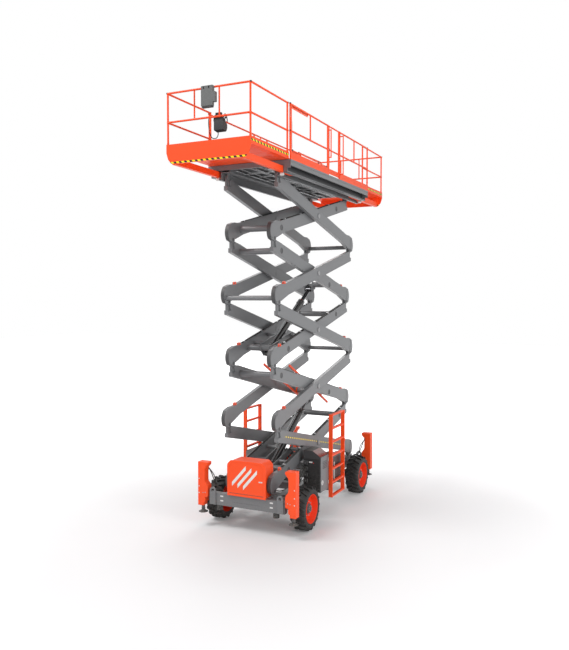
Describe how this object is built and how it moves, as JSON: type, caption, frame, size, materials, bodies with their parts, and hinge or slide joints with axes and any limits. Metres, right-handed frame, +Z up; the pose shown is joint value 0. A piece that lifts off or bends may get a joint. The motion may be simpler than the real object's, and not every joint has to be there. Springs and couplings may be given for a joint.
{
  "type": "scissor lift",
  "caption": "Self-propelled rough-terrain scissor lift with a tall arm stack, sliding deck extensions, guard rails, outriggers, side cabinets and ladders.",
  "frame": {"origin": "centre of the machine's footprint box, on the floor the tyres stand on", "axes": "+Z up, X across the machine with its left side at +X, the hood end faces -Y"},
  "size_m": [2.33, 7.561, 8.6889],
  "materials": {
    "tyre_rubber": "matt black moulded rubber with coarse lugs",
    "rim_paint": "orange gloss paint, dusty",
    "prop_paint": "orange paint, scuffed",
    "arm_paint": "dark grey satin paint",
    "chassis_paint": "mid grey paint",
    "dark_grey_steel": "dark grey paint, greasy",
    "rod_chrome": "hard chrome, ground",
    "cylinder_paint": "satin black paint",
    "leg_steel": "bare steel",
    "black_paint": "satin black paint",
    "cabinet_paint": "mid grey paint",
    "hood_paint": "orange gloss paint",
    "ladder_paint": "orange paint, worn on the rungs",
    "deck_paint": "dark grey paint, floor with an anti-slip pattern",
    "extension_paint": "orange gloss paint, grey anti-slip floor",
    "outrigger_paint": "orange gloss paint",
    "rail_paint": "orange gloss paint",
    "black_plastic": "textured black plastic",
    "grey_plastic": "grey moulded plastic"
  },
  "bodies": {
    "chassis": {"left_chassis_rail": "chassis_paint", "right_chassis_rail": "chassis_paint", "cross_members": "chassis_paint", "front_bumper": "chassis_paint", "rear_bumper": "chassis_paint", "front_axle": "dark_grey_steel", "rear_axle": "dark_grey_steel", "outrigger_housings": "outrigger_paint", "left_cabinet": "black_paint", "right_cabinet": "cabinet_paint", "fuel_tank": "black_paint", "engine_block": "dark_grey_steel", "ladders": "ladder_paint"},
    "inner_arm_1": {"inner_arm_1": "arm_paint"},
    "outer_arm_1": {"outer_arm_1": "arm_paint"},
    "inner_arm_2": {"inner_arm_2": "arm_paint", "maintenance_props": "prop_paint"},
    "outer_arm_2": {"outer_arm_2": "arm_paint"},
    "inner_arm_3": {"inner_arm_3": "arm_paint"},
    "outer_arm_3": {"outer_arm_3": "arm_paint"},
    "inner_arm_4": {"inner_arm_4": "arm_paint"},
    "outer_arm_4": {"outer_arm_4": "arm_paint"},
    "inner_arm_5": {"inner_arm_5": "arm_paint"},
    "outer_arm_5": {"outer_arm_5": "arm_paint"},
    "platform": {"platform_frame": "deck_paint", "main_rails": "rail_paint"},
    "lower_barrel": {"lower_cylinder_barrel": "cylinder_paint"},
    "lower_rod": {"lower_cylinder_rod": "rod_chrome"},
    "upper_barrel": {"upper_cylinder_barrel": "cylinder_paint"},
    "upper_rod": {"upper_cylinder_rod": "rod_chrome"},
    "knuckle_left": {"steering_knuckle_left": "dark_grey_steel"},
    "wheel_front_left": {"tyre_front_left": "tyre_rubber", "rim_front_left": "rim_paint"},
    "leg_front_left": {"outrigger_leg_front_left": "leg_steel"},
    "wheel_rear_left": {"tyre_rear_left": "tyre_rubber", "rim_rear_left": "rim_paint"},
    "leg_rear_left": {"outrigger_leg_rear_left": "leg_steel"},
    "knuckle_right": {"steering_knuckle_right": "dark_grey_steel"},
    "wheel_front_right": {"tyre_front_right": "tyre_rubber", "rim_front_right": "rim_paint"},
    "leg_front_right": {"outrigger_leg_front_right": "leg_steel"},
    "wheel_rear_right": {"tyre_rear_right": "tyre_rubber", "rim_rear_right": "rim_paint"},
    "leg_rear_right": {"outrigger_leg_rear_right": "leg_steel"},
    "hood": {"front_hood": "hood_paint"},
    "left_door": {"left_cabinet_door": "cabinet_paint"},
    "right_lid": {"right_cabinet_lid": "cabinet_paint"},
    "gate": {"entry_gate": "rail_paint"},
    "front_extension": {"front_extension_deck": "extension_paint", "front_extension_rails": "rail_paint", "control_console": "black_plastic", "document_box": "grey_plastic"},
    "rear_extension": {"rear_extension_deck": "extension_paint", "rear_extension_rails": "rail_paint"}
  },
  "joints": [
    {"name": "lift", "type": "hinge", "parent": "chassis", "child": "inner_arm_1", "pos_m": [0, -2.03082, 0.866], "axis": [1, 0, 0], "range_deg": [-13.37, 40.3]},
    {"name": "centre_pivot_1", "type": "hinge", "parent": "inner_arm_1", "child": "outer_arm_1", "pos_m": [0, 0, 1.51334], "axis": [1, 0, 0], "range_deg": [-80.62, 26.76]},
    {"name": "inner_knuckle_1", "type": "hinge", "parent": "inner_arm_1", "child": "inner_arm_2", "pos_m": [0, 2.03082, 2.16067], "axis": [1, 0, 0], "range_deg": [-80.62, 26.76]},
    {"name": "centre_pivot_2", "type": "hinge", "parent": "inner_arm_2", "child": "outer_arm_2", "pos_m": [0, 0, 2.80801], "axis": [1, 0, 0], "range_deg": [-26.76, 80.62]},
    {"name": "inner_knuckle_2", "type": "hinge", "parent": "inner_arm_2", "child": "inner_arm_3", "pos_m": [0, -2.03082, 3.45535], "axis": [1, 0, 0], "range_deg": [-26.76, 80.62]},
    {"name": "centre_pivot_3", "type": "hinge", "parent": "inner_arm_3", "child": "outer_arm_3", "pos_m": [0, 0, 4.10269], "axis": [1, 0, 0], "range_deg": [-80.62, 26.76]},
    {"name": "inner_knuckle_3", "type": "hinge", "parent": "inner_arm_3", "child": "inner_arm_4", "pos_m": [0, 2.03082, 4.75003], "axis": [1, 0, 0], "range_deg": [-80.62, 26.76]},
    {"name": "centre_pivot_4", "type": "hinge", "parent": "inner_arm_4", "child": "outer_arm_4", "pos_m": [0, 0, 5.39736], "axis": [1, 0, 0], "range_deg": [-26.76, 80.62]},
    {"name": "inner_knuckle_4", "type": "hinge", "parent": "inner_arm_4", "child": "inner_arm_5", "pos_m": [0, -2.03082, 6.0447], "axis": [1, 0, 0], "range_deg": [-26.76, 80.62]},
    {"name": "centre_pivot_5", "type": "hinge", "parent": "inner_arm_5", "child": "outer_arm_5", "pos_m": [0, 0, 6.69204], "axis": [1, 0, 0], "range_deg": [-80.62, 26.76]},
    {"name": "platform_pivot", "type": "hinge", "parent": "outer_arm_5", "child": "platform", "pos_m": [0, -2.03082, 7.33938], "axis": [1, 0, 0], "range_deg": [-13.39, 40.32]},
    {"name": "lower_cylinder_pin", "type": "hinge", "parent": "inner_arm_1", "child": "lower_barrel", "pos_m": [0, -1.30214, 1.03926], "axis": [1, 0, 0], "range_deg": [-2.02, 6.07]},
    {"name": "lower_cylinder_stroke", "type": "slide", "parent": "lower_barrel", "child": "lower_rod", "axis": [0, 0.8394, 0.5435], "range_m": [-0.4299, 1.2947]},
    {"name": "upper_cylinder_pin", "type": "hinge", "parent": "inner_arm_3", "child": "upper_barrel", "pos_m": [0, -1.30214, 3.62861], "axis": [1, 0, 0], "range_deg": [-2.02, 6.07]},
    {"name": "upper_cylinder_stroke", "type": "slide", "parent": "upper_barrel", "child": "upper_rod", "axis": [0, 0.8394, 0.5435], "range_m": [-0.4299, 1.2947]},
    {"name": "steer_left", "type": "hinge", "parent": "chassis", "child": "knuckle_left", "pos_m": [0.79, -1.575, 0.456], "axis": [0, 0, 1], "range_deg": [-28, 28]},
    {"name": "roll_front_left", "type": "hinge", "parent": "knuckle_left", "child": "wheel_front_left", "pos_m": [1, -1.575, 0.456], "axis": [1, 0, 0], "continuous": true},
    {"name": "outrigger_front_left", "type": "slide", "parent": "chassis", "child": "leg_front_left", "axis": [0, 0, -1], "range_m": [0, 0.285]},
    {"name": "roll_rear_left", "type": "hinge", "parent": "chassis", "child": "wheel_rear_left", "pos_m": [1, 1.575, 0.456], "axis": [1, 0, 0], "continuous": true},
    {"name": "outrigger_rear_left", "type": "slide", "parent": "chassis", "child": "leg_rear_left", "axis": [0, 0, -1], "range_m": [0, 0.285]},
    {"name": "steer_right", "type": "hinge", "parent": "chassis", "child": "knuckle_right", "pos_m": [-0.79, -1.575, 0.456], "axis": [0, 0, 1], "range_deg": [-28.02, 28.02]},
    {"name": "roll_front_right", "type": "hinge", "parent": "knuckle_right", "child": "wheel_front_right", "pos_m": [-1, -1.575, 0.456], "axis": [1, 0, 0], "continuous": true},
    {"name": "outrigger_front_right", "type": "slide", "parent": "chassis", "child": "leg_front_right", "axis": [0, 0, -1], "range_m": [0, 0.285]},
    {"name": "roll_rear_right", "type": "hinge", "parent": "chassis", "child": "wheel_rear_right", "pos_m": [-1, 1.575, 0.456], "axis": [1, 0, 0], "continuous": true},
    {"name": "outrigger_rear_right", "type": "slide", "parent": "chassis", "child": "leg_rear_right", "axis": [0, 0, -1], "range_m": [0, 0.285]},
    {"name": "hood_tilt", "type": "hinge", "parent": "chassis", "child": "hood", "pos_m": [0, -2.341, 0.7503], "axis": [1, 0, 0], "range_deg": [0, 75]},
    {"name": "left_cabinet_door_hinge", "type": "hinge", "parent": "chassis", "child": "left_door", "pos_m": [1.0563, -0.434, 0.985], "axis": [0, 0, 1], "range_deg": [0, 90]},
    {"name": "right_cabinet_lid_hinge", "type": "hinge", "parent": "chassis", "child": "right_lid", "pos_m": [-0.652, 0.2, 1.2563], "axis": [0, 1, 0], "range_deg": [0, 85]},
    {"name": "gate_hinge", "type": "hinge", "parent": "platform", "child": "gate", "pos_m": [0.936, 0.439, 8.1], "axis": [0, 0, -1], "range_deg": [0, 90]},
    {"name": "front_deck_slide", "type": "slide", "parent": "platform", "child": "front_extension", "axis": [0, 1, 0], "range_m": [0, 1.5]},
    {"name": "rear_deck_slide", "type": "slide", "parent": "platform", "child": "rear_extension", "axis": [0, -1, 0], "range_m": [0, 1.25]}
  ],
  "couplings": [
    {"joint": "centre_pivot_1", "follows": "lift", "ratio": -2},
    {"joint": "inner_knuckle_1", "follows": "lift", "ratio": -2},
    {"joint": "centre_pivot_2", "follows": "lift", "ratio": 2},
    {"joint": "inner_knuckle_2", "follows": "lift", "ratio": 2},
    {"joint": "centre_pivot_3", "follows": "lift", "ratio": -2},
    {"joint": "inner_knuckle_3", "follows": "lift", "ratio": -2},
    {"joint": "centre_pivot_4", "follows": "lift", "ratio": 2},
    {"joint": "inner_knuckle_4", "follows": "lift", "ratio": 2},
    {"joint": "centre_pivot_5", "follows": "lift", "ratio": -2},
    {"joint": "platform_pivot", "follows": "lift", "ratio": 1},
    {"joint": "lower_cylinder_pin", "follows": "lift", "ratio": 0.15},
    {"joint": "lower_cylinder_stroke", "follows": "lift", "m_per_rad": 1.84},
    {"joint": "upper_cylinder_pin", "follows": "lift", "ratio": 0.15},
    {"joint": "upper_cylinder_stroke", "follows": "lift", "m_per_rad": 1.84},
    {"joint": "steer_right", "follows": "steer_left", "ratio": 1}
  ]
}
